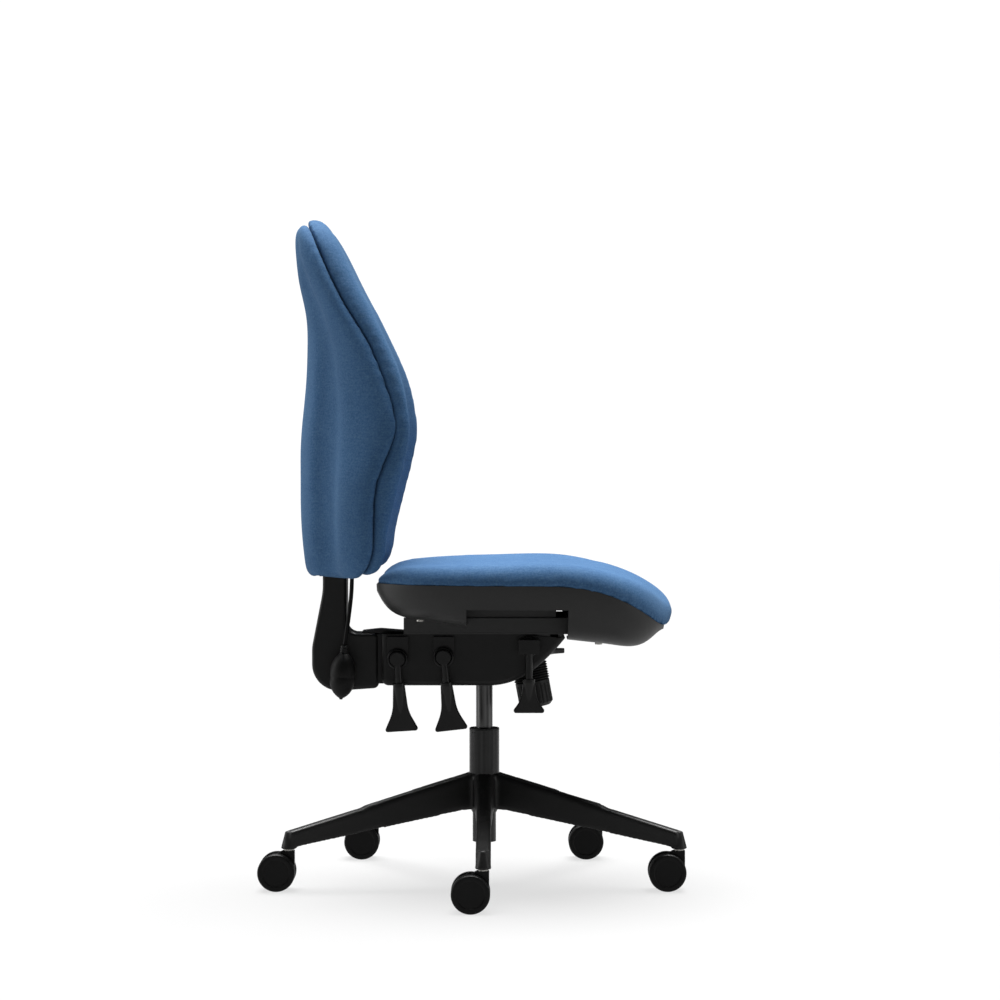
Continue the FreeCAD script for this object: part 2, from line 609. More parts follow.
def tension_bellows():
    zigzag = [(BELLOWS_R - BELLOWS_RIB_DEPTH - 2.0, 0), (BELLOWS_R - BELLOWS_RIB_DEPTH, 0)]
    for number in range(BELLOWS_RIBS):
        low = number * BELLOWS_PITCH
        zigzag += [(BELLOWS_R, low + 0.35 * BELLOWS_PITCH), (BELLOWS_R, low + 0.65 * BELLOWS_PITCH),
                   (BELLOWS_R - BELLOWS_RIB_DEPTH, low + BELLOWS_PITCH)]
    zigzag.append((BELLOWS_R - BELLOWS_RIB_DEPTH - 2.0, BELLOWS_RIBS * BELLOWS_PITCH))
    sleeve = turned(zigzag, on_knob_axis(-SOFT_CLEARANCE), tuple(-knob_axis()))
    above = slab(mech_outline(), -MECH_HALF_WIDTH, MECH_HALF_WIDTH)
    return max(sleeve.cut(above).Solids, key=lambda solid: solid.Volume)


def tension_spring():
    """Disc springs stacked face to face round the tension bolt, as many as fit under the housing."""
    rise, sheet, outer = 1.2, 1.0, 15.0
    inner = BOLT_R + 0.4
    above = slab(mech_outline(), -MECH_HALF_WIDTH, MECH_HALF_WIDTH)
    discs = []
    for number in range(6):
        flat, tall = (0.0, rise) if number % 2 else (rise, 0.0)
        disc = turned([(inner, flat), (outer, tall), (outer, tall + sheet), (inner, flat + sheet)],
                      on_knob_axis(-SOFT_CLEARANCE - number * (rise + sheet)), tuple(-knob_axis()))
        if disc.common(above).Volume > 0:
            break
        discs.append(disc)
    return Part.makeCompound(discs)


# Levers
def paddle(length, width):
    """A flared finger paddle hanging from the origin, with a neck for its rod."""
    top, half = PADDLE_TOP_WIDTH / 2, width / 2
    knee = top + 0.16 * (half - top)
    sweep, corner = 0.9 * length, 4.0
    side = rounded([(-top, 0.0, 0.0), (-knee, -0.56 * length, sweep), (-half, -length, corner),
                    (half, -length, corner), (knee, -0.56 * length, sweep), (top, 0.0, 0.0)])
    blade = slab(side, -PADDLE_THICKNESS / 2, PADDLE_THICKNESS / 2)
    rim = [edge for edge in blade.Edges if edge.BoundBox.YLength < 0.01 and edge.BoundBox.ZMin < -1.0]
    blade = blade.makeFillet(PADDLE_EDGE_R, rim)
    neck = cone(PADDLE_TOP_WIDTH / 2, PADDLE_THICKNESS / 2, (0, 0, 0), (0, 0, -0.6 * length))
    sleeve = cylinder(PADDLE_TOP_WIDTH / 2, (0, 0, 6.0), (0, 0, 0))
    socket = cylinder(LEVER_ROD_R, (0, 0, 7.0), (0, 0, -10.0))
    return blade.fuse([neck, sleeve]).cut(socket).removeSplitter()


def hung_lever(name, head, rod_length, tilt_deg, paddle_length):
    """A lever on a shaft across the chair: returns the rod with its head, and the paddle."""
    x, z = LEVER_X[name], LEVER_Z[name]
    inner_face = -MECH_HALF_WIDTH + MECH_WALL
    rod_y = -MECH_HALF_WIDTH - LEVER_BUSH_DEPTH - SOFT_CLEARANCE - LEVER_HEAD_DEPTH / 2
    shaft = cylinder(LEVER_SHAFT_R, (0, inner_face + SOFT_CLEARANCE, 0), (0, rod_y, 0))
    flange = cylinder(LEVER_SHAFT_R + 3.0, (0, inner_face + SOFT_CLEARANCE, 0),
                      (0, inner_face + 4.0, 0))
    rod = cylinder(LEVER_ROD_R, (0, rod_y, 0), (0, rod_y, -rod_length - 10.0))
    lever = shaft.fuse([flange, rod, head(rod_y)]).removeSplitter()
    blade = paddle(paddle_length, PADDLE_WIDTH)
    blade.translate(Vector(0, rod_y, -rod_length))
    for piece in (lever, blade):
        piece.rotate(Vector(0, 0, 0), LEFT, -tilt_deg)
        piece.translate(Vector(x, 0, z))
    return lever, blade


def round_head(rod_y):
    half = LEVER_HEAD_DEPTH / 2
    return cylinder(LEVER_HEAD_R, (0, rod_y + half, 0), (0, rod_y - half, 0))


def square_head(rod_y):
    half = LEVER_HEAD_DEPTH / 2
    return block((-17.0, rod_y - half, -12.0), (17.0, rod_y + half, 12.0))


def slide_lever():
    """The lever on the far side that frees the seat slide: lifts about an axis along X."""
    z = LEVER_Z["slide"]
    start = Vector(SLIDE_LEVER_X, SLIDE_HINGE_Y, z)
    toe_out = 13.0
    eye = cylinder(ROCKER_PIN_R + 5.0, (SLIDE_LEVER_X - 7.5, SLIDE_HINGE_Y, z),
                   (SLIDE_LEVER_X + 7.5, SLIDE_HINGE_Y, z))
    rod = cylinder(LEVER_ROD_R, (0, 0, -2.0), (0, 0, -56.0))
    blade = paddle(0.85 * PADDLE_LENGTH, PADDLE_WIDTH)
    blade.translate(Vector(0, 0, -46.0))
    for piece in (rod, blade):
        piece.rotate(Vector(0, 0, 0), Vector(1, 0, 0), 90)
        piece.rotate(Vector(0, 0, 0), UP, -toe_out)
        piece.translate(start)
    hole = cylinder(ROCKER_PIN_R + RUNNING_CLEARANCE, (SLIDE_LEVER_X - 20.0, SLIDE_HINGE_Y, z),
                    (SLIDE_LEVER_X + 20.0, SLIDE_HINGE_Y, z))
    return eye.fuse(rod).cut(hole).removeSplitter(), blade


def lever_bushes():
    face = -MECH_HALF_WIDTH
    bushes = []
    for name in ("back", "seat"):
        x, z = LEVER_X[name], LEVER_Z[name]
        ring = cylinder(LEVER_BUSH_R, (x, face, z), (x, face - LEVER_BUSH_DEPTH, z))
        tab = block((x - LEVER_BUSH_R, face - LEVER_BUSH_DEPTH + 4.0, z),
                    (x + LEVER_BUSH_R, face, MECH_TOP - 4.0))
        bushes.append(ring.fuse(tab))
    x, z = LEVER_X["height"], LEVER_Z["height"]
    bushes.append(cylinder(LEVER_HEAD_R - 1.0, (x, face, z), (x, face - LEVER_BUSH_DEPTH, z)))
    shafts = [cylinder(LEVER_SHAFT_R + RUNNING_CLEARANCE, (LEVER_X[name], face + 5.0, LEVER_Z[name]),
                       (LEVER_X[name], face - 30.0, LEVER_Z[name]))
              for name in ("back", "seat", "height")]
    bushes = [bush.cut(shafts).removeSplitter() for bush in bushes]
    x, z = LEVER_X["slide"], LEVER_Z["slide"]
    foot = block((x - 12.0, -face, z - 10.0), (x + 12.0, -face + 3.0, z + 10.0))
    pin = cylinder(ROCKER_PIN_R, (x - 20.0, SLIDE_HINGE_Y, z), (x + 20.0, SLIDE_HINGE_Y, z))
    cheeks = [block((low, -face, z - 7.0), (low + 4.0, SLIDE_HINGE_Y + 7.0, z + 7.0))
              for low in (x - 12.0, x + 8.0)]
    bracket = foot.fuse(cheeks).cut([pin, cylinder(ROCKER_PIN_R + 6.0, (x - 7.9, SLIDE_HINGE_Y, z),
                                                   (x + 7.9, SLIDE_HINGE_Y, z))])
    bushes.append(bracket.removeSplitter())
    return Part.makeCompound(bushes)


# Seat plate and slide
def seat_plate():
    edge = RAIL_Y + RAIL_WIDTH / 2
    plate = block((PLATE_REAR_X, -edge, PLATE_Z), (PLATE_FRONT_X, edge, RAIL_Z))
    window = block((-70.0, -35.0, PLATE_Z - 1.0), (60.0, 35.0, RAIL_Z + 1.0))
    inner = CHASSIS_HALF_WIDTH + CHASSIS_PLATE + 1.5
    ear = 2.2 * SEAT_PIN_R
    low = SEAT_PIVOT_Z - ear
    side = [(SEAT_PIVOT_X - ear, PLATE_Z), (SEAT_PIVOT_X - ear, SEAT_PIVOT_Z),
            ((SEAT_PIVOT_X, low), (SEAT_PIVOT_X + ear, SEAT_PIVOT_Z)), (SEAT_PIVOT_X + ear, PLATE_Z)]
    lug = slab(side, inner, inner + CHASSIS_PLATE)
    pin = cylinder(SEAT_PIN_R + RUNNING_CLEARANCE, (SEAT_PIVOT_X, -100.0, SEAT_PIVOT_Z),
                   (SEAT_PIVOT_X, 100.0, SEAT_PIVOT_Z))
    return plate.cut(window).fuse([lug, mirrored(lug)]).cut(pin).removeSplitter()


def slide_rails():
    half, slot = RAIL_WIDTH / 2, RAIL_SLOT / 2
    rail = block((PLATE_REAR_X, RAIL_Y - half, RAIL_Z), (PLATE_FRONT_X, RAIL_Y + half, RAIL_TOP))
    room = block((PLATE_REAR_X - 1.0, RAIL_Y - half + RAIL_WALL, RAIL_Z + RAIL_WALL),
                 (PLATE_FRONT_X + 1.0, RAIL_Y + half - RAIL_WALL, RAIL_TOP - RAIL_WALL))
    mouth = block((PLATE_REAR_X - 1.0, RAIL_Y - slot, RAIL_Z + RAIL_WALL),
                  (PLATE_FRONT_X + 1.0, RAIL_Y + slot, RAIL_TOP + 1.0))
    rail = rail.cut([room, mouth])
    return Part.makeCompound([rail, mirrored(rail)])


def slide_runners():
    half = RAIL_WIDTH / 2 - RAIL_WALL - RUNNER_CLEARANCE
    web = RAIL_SLOT / 2 - 2.0
    rear, front = PLATE_REAR_X + 27.0, PLATE_FRONT_X - 23.0
    foot = block((rear, RAIL_Y - half, RAIL_Z + RAIL_WALL + RUNNER_CLEARANCE),
                 (front, RAIL_Y + half, RAIL_TOP - RAIL_WALL - RUNNER_CLEARANCE))
    post = block((rear, RAIL_Y - web, RAIL_TOP - RAIL_WALL - 2.0), (front, RAIL_Y + web, BOARD_Z))
    head = block((rear, RAIL_Y - half - 4.0, BOARD_Z - 3.0), (front, RAIL_Y + half + 4.0, BOARD_Z))
    runner = foot.fuse([post, head]).removeSplitter()
    return Part.makeCompound([runner, mirrored(runner)])


# Seat. Each station: share of the depth from the rear, share of the half width, drop of the seam,
# crest and centre of the cushion above the seam line, depth of the shell below the seam line
SEAT_STATIONS = [
    (0.000, 0.45, 3.0, 5.0, 4.0, 16.0),
    (0.020, 0.60, 0.0, 14.0, 11.0, 31.0),
    (0.057, 0.72, 0.0, 23.0, 18.0, 49.0),
    (0.138, 0.86, 0.0, 28.0, 22.0, 59.0),
    (0.280, 0.965, 0.0, 31.0, 24.0, 69.0),
    (0.442, 1.00, 0.0, 33.0, 26.0, 81.0),
    (0.584, 1.00, 0.5, 34.0, 28.0, 89.0),
    (0.686, 0.975, 5.0, 30.0, 28.0, 95.0),
    (0.777, 0.925, 17.0, 21.0, 25.0, 100.5),
    (0.858, 0.83, 36.0, 7.0, 14.0, 104.5),
    (0.929, 0.66, 60.0, -15.0, -4.0, 87.5),
    (0.965, 0.50, 70.0, -31.0, -17.0, 78.0),
    (0.985, 0.38, 66.0, -37.0, -27.0, 74.0),
    (1.000, 0.26, 54.0, -46.0, -40.0, 60.0)]
CREST_SHARE = 0.86             # the cushion is highest here, seen across the seat
SHELL_FLOOR_SHARE = 0.62       # half width of the shell's flat floor
SHELL_STATIONS = [s for s in SEAT_STATIONS if s[0] < 0.98]


def seat_cushion():
    sections = []
    for share, width, drop, crest, centre, depth in SEAT_STATIONS:
        x = SEAT_REAR_X + share * SEAT_DEPTH
        half = width * SEAT_WIDTH / 2
        seam, top = SEAM_Z - drop, SEAM_Z + crest
        shoulder = seam + 0.55 * (top - seam)
        ridge = CREST_SHARE * half
        bulge = 0.99 * half
        sections.append(path([(x, -half, seam), (x, half, seam),
                              ((x, bulge, shoulder), (x, ridge, top)),
                              ((x, 0, SEAM_Z + centre), (x, -ridge, top)),
                              ((x, -bulge, shoulder), (x, -half, seam))]))
    return Part.makeLoft(sections, True, False)


def shell_loft(wall):
    sections = []
    for share, width, drop, crest, centre, depth in SHELL_STATIONS:
        x = SEAT_REAR_X + share * SEAT_DEPTH + (wall if share == 0.0 else 0.0)
        half = width * SEAT_WIDTH / 2 - 2.0 - wall
        rim = SEAM_Z - drop - SOFT_CLEARANCE + (1.5 if wall else 0.0)
        floor = SEAM_Z - depth + wall
        foot = SHELL_FLOOR_SHARE * half
        belly = 0.92 * half
        middle = 0.5 * (rim + floor) - 0.08 * (rim - floor)
        sections.append(path([(x, -half, rim), (x, half, rim), ((x, belly, middle), (x, foot, floor)),
                              (x, -foot, floor), ((x, -belly, middle), (x, -half, rim))]))
    return Part.makeLoft(sections, True, False)


# Where the shell is screwed to the board, and how far the board has dropped there
SHELL_SCREWS = [(-105.0, -132.0, 0.0), (-105.0, 132.0, 0.0), (190.0, -115.0, 9.0), (190.0, 115.0, 9.0)]


def seat_board():
    rear, bend, front = SEAT_REAR_X + 28.0, 70.0, 215.0
    half = 0.375 * SEAT_WIDTH
    fall = 29.0
    side = [(rear, BOARD_TOP), (rear, BOARD_Z), (bend, BOARD_Z),
            ((0.5 * (bend + front) + 2.0, BOARD_Z - 0.27 * fall), (front - 5.0, BOARD_Z - fall)),
            (front, BOARD_TOP - fall), ((0.5 * (bend + front) + 5.0, BOARD_TOP - 0.27 * fall),
                                        (bend, BOARD_TOP))]
    board = slab(side, -half, half)
    corners = [edge for edge in board.Edges if abs(edge.BoundBox.XLength) < 0.01
               and abs(edge.BoundBox.YLength) < 0.01 and edge.BoundBox.XMax < 0]
    board = board.makeFillet(70.0, corners)
    holes = [cylinder(INSERT_R, (x, y, BOARD_Z - 1.0), (x, y, BOARD_TOP + 1.0)) for x, y in arm_holes()]
    return board.cut(holes)


def arm_holes():
    return [(x, side * y) for side in (-1, 1) for x in ARM_HOLES_X for y in ARM_HOLES_Y]


def arm_inserts():
    return Part.makeCompound([
        cylinder(INSERT_R, (x, y, BOARD_Z), (x, y, BOARD_TOP)).cut(
            cylinder(INSERT_BORE_R, (x, y, BOARD_Z - 1.0), (x, y, BOARD_TOP + 1.0)))
        for x, y in arm_holes()])


def shell_floor(x):
    return SEAM_Z - blend(SEAT_STATIONS, (x - SEAT_REAR_X) / SEAT_DEPTH, 5)


def seat_shell(board):
    outer = shell_loft(0.0)
    shell = outer.cut(shell_loft(SHELL_WALL))
    posts = [cylinder(7.0, (x, y, shell_floor(x) + 1.0), (x, y, BOARD_TOP)).cut(board)
             for x, y, drop in SHELL_SCREWS]
    posts = [min(post.Solids, key=lambda solid: solid.BoundBox.ZMin) for post in posts]
    rail_room = block((SEAT_REAR_X - 30.0, -RAIL_Y - RAIL_WIDTH / 2 - 4.0, MECH_BOTTOM),
                      (PLATE_FRONT_X + 4.0, RAIL_Y + RAIL_WIDTH / 2 + 4.0,
                       RAIL_TOP + SHELL_CLEAR_OF_RAIL))
    notch_top = SEAM_Z - ARM_NOTCH_BELOW_SEAM
    notches = [block((ARM_NOTCH_X[0], low, MECH_BOTTOM), (ARM_NOTCH_X[1], low + SEAT_WIDTH, notch_top))
               for low in (RAIL_Y, -RAIL_Y - SEAT_WIDTH)]
    holes = [cylinder(SCREW_R, (x, y, MECH_BOTTOM), (x, y, BOARD_Z)) for x, y, drop in SHELL_SCREWS]
    return shell.fuse(posts).cut([rail_room] + notches + holes).removeSplitter()


def shell_screws():
    screws = []
    for x, y, drop in SHELL_SCREWS:
        under = shell_floor(x) - 4.6
        head = cylinder(2 * SCREW_R, (x, y, under), (x, y, under + 3.0))
        screws.append(cylinder(SCREW_R, (x, y, under), (x, y, BOARD_Z + 1.0 - drop)).fuse(head))
    return Part.makeCompound(screws)


# Back arm
ELBOW_R = 60.0
ARM_TOP_Z = SEAM_Z + ARM_TOP_RUN
BAR_TOP_Z = SEAM_Z + BAR_TOP_RUN


def bar_outline(extra):
    """Side view of the bent bar, made thicker by extra on each face."""
    half = BAR_THICKNESS / 2 + extra
    bend_x, bend_z = UPRIGHT_X + ELBOW_R, BACK_PIVOT_Z + ELBOW_R
    outer, inner = ELBOW_R + half, ELBOW_R - half
    slope = math.sqrt(0.5)
    return [(UPRIGHT_X - half, BAR_TOP_Z), (UPRIGHT_X - half, bend_z),
            ((bend_x - slope * outer, bend_z - slope * outer), (bend_x, BACK_PIVOT_Z - half)),
            (BACK_PIVOT_X, BACK_PIVOT_Z - half), (BACK_PIVOT_X, BACK_PIVOT_Z + half),
            (bend_x, BACK_PIVOT_Z + half),
            ((bend_x - slope * inner, bend_z - slope * inner), (UPRIGHT_X + half, bend_z)),
            (UPRIGHT_X + half, BAR_TOP_Z)]


def back_bracket():
    bar = slab(bar_outline(0.0), -BAR_HALF_WIDTH, BAR_HALF_WIDTH)
    reach = CHASSIS_HALF_WIDTH - SOFT_CLEARANCE
    eye = cylinder(BACK_EYE_R, (BACK_PIVOT_X, -reach, BACK_PIVOT_Z), (BACK_PIVOT_X, reach, BACK_PIVOT_Z))
    bore = cylinder(BACK_PIN_R + RUNNING_CLEARANCE, (BACK_PIVOT_X, -reach - 1.0, BACK_PIVOT_Z),
                    (BACK_PIVOT_X, reach + 1.0, BACK_PIVOT_Z))
    teeth = [block((UPRIGHT_X - BAR_THICKNESS / 2 - 1.0, -6.0, BAR_TOP_Z - 20.0 - 10.0 * n),
                   (UPRIGHT_X - BAR_THICKNESS / 2 + 2.5, 6.0, BAR_TOP_Z - 15.0 - 10.0 * n))
             for n in range(8)]
    return bar.fuse(eye).cut([bore] + teeth).removeSplitter()


def back_arm_cover():
    rear, front = UPRIGHT_X - UPRIGHT_THICKNESS / 2, UPRIGHT_X + UPRIGHT_THICKNESS / 2
    shelf, sole = MECH_TOP, MECH_BOTTOM - 10.2
    side = rounded([(rear, ARM_TOP_Z, 0.0), (rear, SEAM_Z - 20.0, 120.0),
                    (ARM_HEEL_X, MECH_TOP - 24.0, 60.0), (ARM_HEEL_X, sole - 4.0, 45.0),
                    (ARM_FRONT_X, sole + 4.0, 9.0), (ARM_FRONT_X, shelf, 8.0),
                    (front, shelf, 18.0), (front, ARM_TOP_Z, 0.0)])
    cover = slab(side, -ARM_HALF_WIDTH, ARM_HALF_WIDTH)
    edges = [edge for edge in cover.Edges
             if edge.BoundBox.YLength < 0.01 and edge.BoundBox.ZMin < ARM_TOP_Z - 1.0]
    cover = cover.makeFillet(6.0, edges)
    tongue = block((ARM_FRONT_X - 12.0, 2.0 - ARM_HALF_WIDTH, MECH_BOTTOM + 1.5),
                   (MECH_REAR_X + ARM_TONGUE, ARM_HALF_WIDTH - 2.0, shelf - 2.0))
    return cover.fuse(tongue).cut(slab(bar_outline(0.3), -BAR_HALF_WIDTH - 0.3, BAR_HALF_WIDTH + 0.3))


def back_arm_cap():
    """Thin sloping plate on the arm that closes the gap towards the seat plate."""
    low = MECH_TOP + SOFT_CLEARANCE
    rear, front = UPRIGHT_X + 46.0, PLATE_REAR_X - 4.0
    side = [(rear, low), (front, low), (front, low + 2.2), (rear + 30.0, low + 5.2), (rear, low + 2.0)]
    return slab(side, 4.0 - ARM_HALF_WIDTH, ARM_HALF_WIDTH - 4.0)


# Backrest. Each station: share of the height, share of the half width, then positions along X of
# the seam, the front of the wings, the middle of the front, the parting between the pads, the edge,
# the valley and the side of the spine at the rear, and the middle of the rear
BACK_STATIONS = [
    (0.004, 0.64, -207.0, -198.0, -203.0, -216.0, -215.0, -238.0, -271.0, -292.0),
    (0.025, 0.75, -192.0, -172.0, -192.0, -216.0, -209.0, -240.0, -278.0, -301.0),
    (0.062, 0.83, -180.0, -161.0, -188.0, -217.0, -205.0, -241.0, -281.0, -304.0),
    (0.125, 0.895, -175.0, -156.0, -184.0, -218.0, -202.0, -242.0, -283.0, -307.0),
    (0.207, 0.94, -174.0, -144.0, -180.0, -219.0, -200.0, -243.0, -284.0, -309.0),
    (0.290, 0.975, -165.0, -131.0, -176.0, -218.0, -195.0, -241.0, -284.0, -309.0),
    (0.356, 0.99, -147.0, -122.0, -175.0, -217.0, -185.0, -239.0, -283.0, -309.0),
    (0.414, 1.00, -138.0, -118.0, -175.0, -217.0, -179.0, -237.0, -282.0, -307.0),
    (0.480, 0.985, -142.5, -122.0, -177.0, -219.0, -183.0, -237.0, -279.0, -303.0),
    (0.554, 0.955, -158.5, -131.5, -182.0, -223.0, -194.0, -240.0, -277.0, -299.0),
    (0.645, 0.90, -183.0, -154.0, -194.0, -231.0, -214.0, -248.0, -277.0, -297.0),
    (0.731, 0.835, -216.0, -178.0, -208.0, -246.0, -241.0, -263.0, -283.0, -299.0),
    (0.818, 0.755, -246.0, -206.0, -226.0, -264.0, -268.0, -286.0, -301.0, -310.0),
    (0.901, 0.655, -269.0, -231.0, -244.0, -281.0, -290.0, -304.0, -313.0, -317.0),
    (0.954, 0.54, -284.0, -248.0, -256.0, -291.0, -301.0, -311.0, -316.0, -318.5),
    (0.980, 0.42, -292.0, -259.0, -265.0, -296.0, -300.0, -304.0, -306.0, -307.0),
    (0.998, 0.22, -295.0, -276.0, -278.0, -297.0, -298.0, -299.0, -300.0, -301.0)]
REAR_PAD_STATIONS = [s for s in BACK_STATIONS if s[0] < 0.99]
BOARD_STATIONS = [s for s in BACK_STATIONS if 0.05 < s[0] < 0.93]
WING_SHARE, EDGE_SHARE, VALLEY_SHARE, SPINE_SHARE = 0.93, 0.985, 0.66, 0.45


def back_front_pad():
    sections = []
    for share, width, seam, wing, centre, parting, *rear in BACK_STATIONS:
        z, half = BACK_Z + share * BACK_HEIGHT, width * BACK_WIDTH / 2
        gap = BACK_SEAM_GAP / 2
        ridge, roll = WING_SHARE * half, 0.995 * half
        shoulder = seam + 0.65 * (wing - seam)
        sections.append(path([(seam + gap, -half, z), ((parting + gap, 0, z), (seam + gap, half, z)),
                              ((shoulder, roll, z), (wing, ridge, z)),
                              ((centre, 0, z), (wing, -ridge, z)),
                              ((shoulder, -roll, z), (seam + gap, -half, z))]))
    pad = Part.makeLoft(sections, True, False)
    below = slab([(-230.0, BACK_Z - 5.0), (-100.0, BACK_Z - 5.0), (-100.0, BACK_Z + UNDERCUT_RISE),
                  (-230.0, BACK_Z + 1.0)], -BACK_WIDTH, BACK_WIDTH)
    return pad.cut([air_cell(PAD_CLEARANCE, 12.0), below])


def back_rear_pad(board_room):
    sections = []
    for share, width, seam, wing, centre, parting, edge, valley, spine, rear in REAR_PAD_STATIONS:
        z, half = BACK_Z + share * BACK_HEIGHT, width * BACK_WIDTH / 2
        gap = BACK_SEAM_GAP / 2
        lip, dip, side = EDGE_SHARE * half, VALLEY_SHARE * half, SPINE_SHARE * half
        edge_at = (edge + 0.6 * (valley - edge), 0.5 * (lip + dip) + 0.055 * half)
        dip_at = (valley + 0.40 * (spine - valley), 0.5 * (dip + side) - 0.02 * half)
        bow_at = (0.5 * (seam + edge), 1.005 * half)
        items = [(seam - gap, half, z), ((parting - gap, 0, z), (seam - gap, -half, z)),
                 ((bow_at[0], -bow_at[1], z), (edge, -lip, z)),
                 ((edge_at[0], -edge_at[1], z), (valley, -dip, z)),
                 ((dip_at[0], -dip_at[1], z), (spine, -side, z)),
                 ((rear, 0, z), (spine, side, z)),
                 ((dip_at[0], dip_at[1], z), (valley, dip, z)),
                 ((edge_at[0], edge_at[1], z), (edge, lip, z)),
                 ((bow_at[0], bow_at[1], z), (seam - gap, half, z))]
        sections.append(path(items))
    pad = Part.makeLoft(sections, True, False)
    cavity = block((UPRIGHT_X - 25.0, -BEZEL_HALF_WIDTH, BACK_Z - 10.0),
                   (UPRIGHT_X + 26.0, BEZEL_HALF_WIDTH, BACK_Z + 60.0))
    well = block((UPRIGHT_X - 25.0, -CAVITY_HALF_WIDTH, BACK_Z - 10.0),
                 (UPRIGHT_X + 26.0, CAVITY_HALF_WIDTH, BAR_TOP_Z + 20.0))
    hose_x, hose_y = HOSE_PATH[3][:2]
    duct = block((UPRIGHT_X + 20.0, hose_y - 8.0, BACK_Z - 10.0),
                 (hose_x + 5.4, hose_y + 8.0, HOSE_PATH[3][2] + 2.0))
    return pad.cut([cavity, well, duct, board_room]).removeSplitter()


BEZEL_HALF_WIDTH = 56.0


def parting_x(seam, parting, half, y):
    """Where the arc between the two pads lies along X, at a place across the back."""
    rise = seam - parting
    radius = (half * half + rise * rise) / (2 * rise)
    return parting + radius - math.sqrt(radius * radius - y * y)


def back_board(extra):
    """Curved plywood between the pads; extra grows it to cut its room in the rear pad."""
    sections = []
    last = len(BOARD_STATIONS) - 1
    for number, station in enumerate(BOARD_STATIONS):
        share, width, seam, wing, centre, parting = station[:6]
        z, half = BACK_Z + share * BACK_HEIGHT, width * BACK_WIDTH / 2
        z += extra if number == last else -extra if number == 0 else 0.0
        reach = 0.84 * half + extra
        front, back = BOARD_CLEARANCE, BOARD_CLEARANCE + BACK_BOARD + extra
        if extra:
            front = -2.0
        end = parting_x(seam, parting, half, reach)
        sections.append(path([(end - front, -reach, z), ((parting - front, 0, z), (end - front, reach, z)),
                              (end - back, reach, z), ((parting - back, 0, z), (end - back, -reach, z))]))
    return Part.makeLoft(sections, True, False)


def ratchet_housing():
    low = ARM_TOP_Z + 14.0
    board_back = BACK_STATIONS[4][5] - BOARD_CLEARANCE - BACK_BOARD - SOFT_CLEARANCE
    body = block((UPRIGHT_X - 16.0, -BAR_HALF_WIDTH - 8.0, low),
                 (board_back, BAR_HALF_WIDTH + 8.0, low + 62.0))
    half = BAR_THICKNESS / 2 + 0.3
    slot = block((UPRIGHT_X - half, -BAR_HALF_WIDTH - 0.3, low - 1.0),
                 (UPRIGHT_X + half, BAR_HALF_WIDTH + 0.3, low + 63.0))
    return body.cut(slot)


def back_bezel():
    """Plate in the underside of the back, round the arm and the air hose."""
    low = BACK_Z + 5.0
    plate = block((UPRIGHT_X - 24.0, 1.0 - BEZEL_HALF_WIDTH, low),
                  (UPRIGHT_X + 25.0, BEZEL_HALF_WIDTH - 1.0, low + 4.0))
    gap = 0.8
    slot = block((UPRIGHT_X - UPRIGHT_THICKNESS / 2 - gap, -ARM_HALF_WIDTH - gap, low - 1.0),
                 (UPRIGHT_X + UPRIGHT_THICKNESS / 2 + gap, ARM_HALF_WIDTH + gap, low + 5.0))
    hose_x, hose_y = HOSE_PATH[3][:2]
    tab = block((UPRIGHT_X + 20.0, hose_y - 7.0, low), (hose_x + 4.8, hose_y + 7.0, low + 4.0))
    return plate.cut(slot).fuse(tab).cut(cylinder(HOSE_R + 0.5, HOSE_PATH[1], HOSE_PATH[3])).removeSplitter()


def air_cell(extra, behind):
    """Flat lumbar air cell behind the front pad; grown to cut its pocket."""
    middle = BACK_Z + 0.32 * BACK_HEIGHT
    cell = block((-212.0 - behind, -45.0 - extra, middle - 60.0 - extra),
                 (-200.0 + extra, 45.0 + extra, middle + 60.0 + extra))
    edges = [edge for edge in cell.Edges if edge.BoundBox.XLength > 1.0]
    return cell.makeFillet(15.0, edges)


# Lumbar pump: a hose from the back down to a hand bulb
BULB_AT = (-240.0, -60.0, SEAM_Z - 197.0)
HOSE_PATH = [(-233.8, -58.5, BULB_AT[2] + BULB_LENGTH + BULB_COLLAR + 1.0), (-223.5, -47.0, BACK_Z - 40.0),
             (-221.8, -46.0, BACK_Z + 10.0), (-221.5, -46.0, BACK_Z + 30.0)]


def tube_path(points):
    """Straight runs joined by tangent arcs."""
    corners = [Vector(*p) for p in points]
    edges, radii = [], []
    here = corners[0]
    for before, corner, after in zip(corners, corners[1:], corners[2:]):
        way_in, way_out = (corner - before), (after - corner)
        turn = way_in.getAngle(way_out)
        if turn < 0.01:
            continue
        cut = 0.45 * min(way_in.Length, way_out.Length)
        radii.append(cut / math.tan(turn / 2))
        start = corner - way_in.normalize() * cut
        end = corner + way_out.normalize() * cut
        inward = (start + end) * 0.5 - corner
        depth = radii[-1] / math.cos(turn / 2) - radii[-1]
        middle = corner + inward.normalize() * depth
        edges += [Part.LineSegment(here, start).toShape(), Part.Arc(start, middle, end).toShape()]
        here = end
    edges.append(Part.LineSegment(here, corners[-1]).toShape())
    print("bend radii of the air hose (mm):", [round(radius, 1) for radius in radii])
    return Part.Wire(edges)


def air_hose():
    route = tube_path(HOSE_PATH[:2] + HOSE_PATH[3:])
    first = Vector(*HOSE_PATH[1]) - Vector(*HOSE_PATH[0])
    rings = [Part.Wire(Part.makeCircle(radius, Vector(*HOSE_PATH[0]), first))
             for radius in (HOSE_R, HOSE_R - 1.2)]
    outer, inner = [route.makePipeShell([ring], True, True) for ring in rings]
    return outer.cut(inner)


def bulb_axis():
    lean = Vector(*HOSE_PATH[0]) - Vector(*BULB_AT)
    return tuple(lean.normalize())


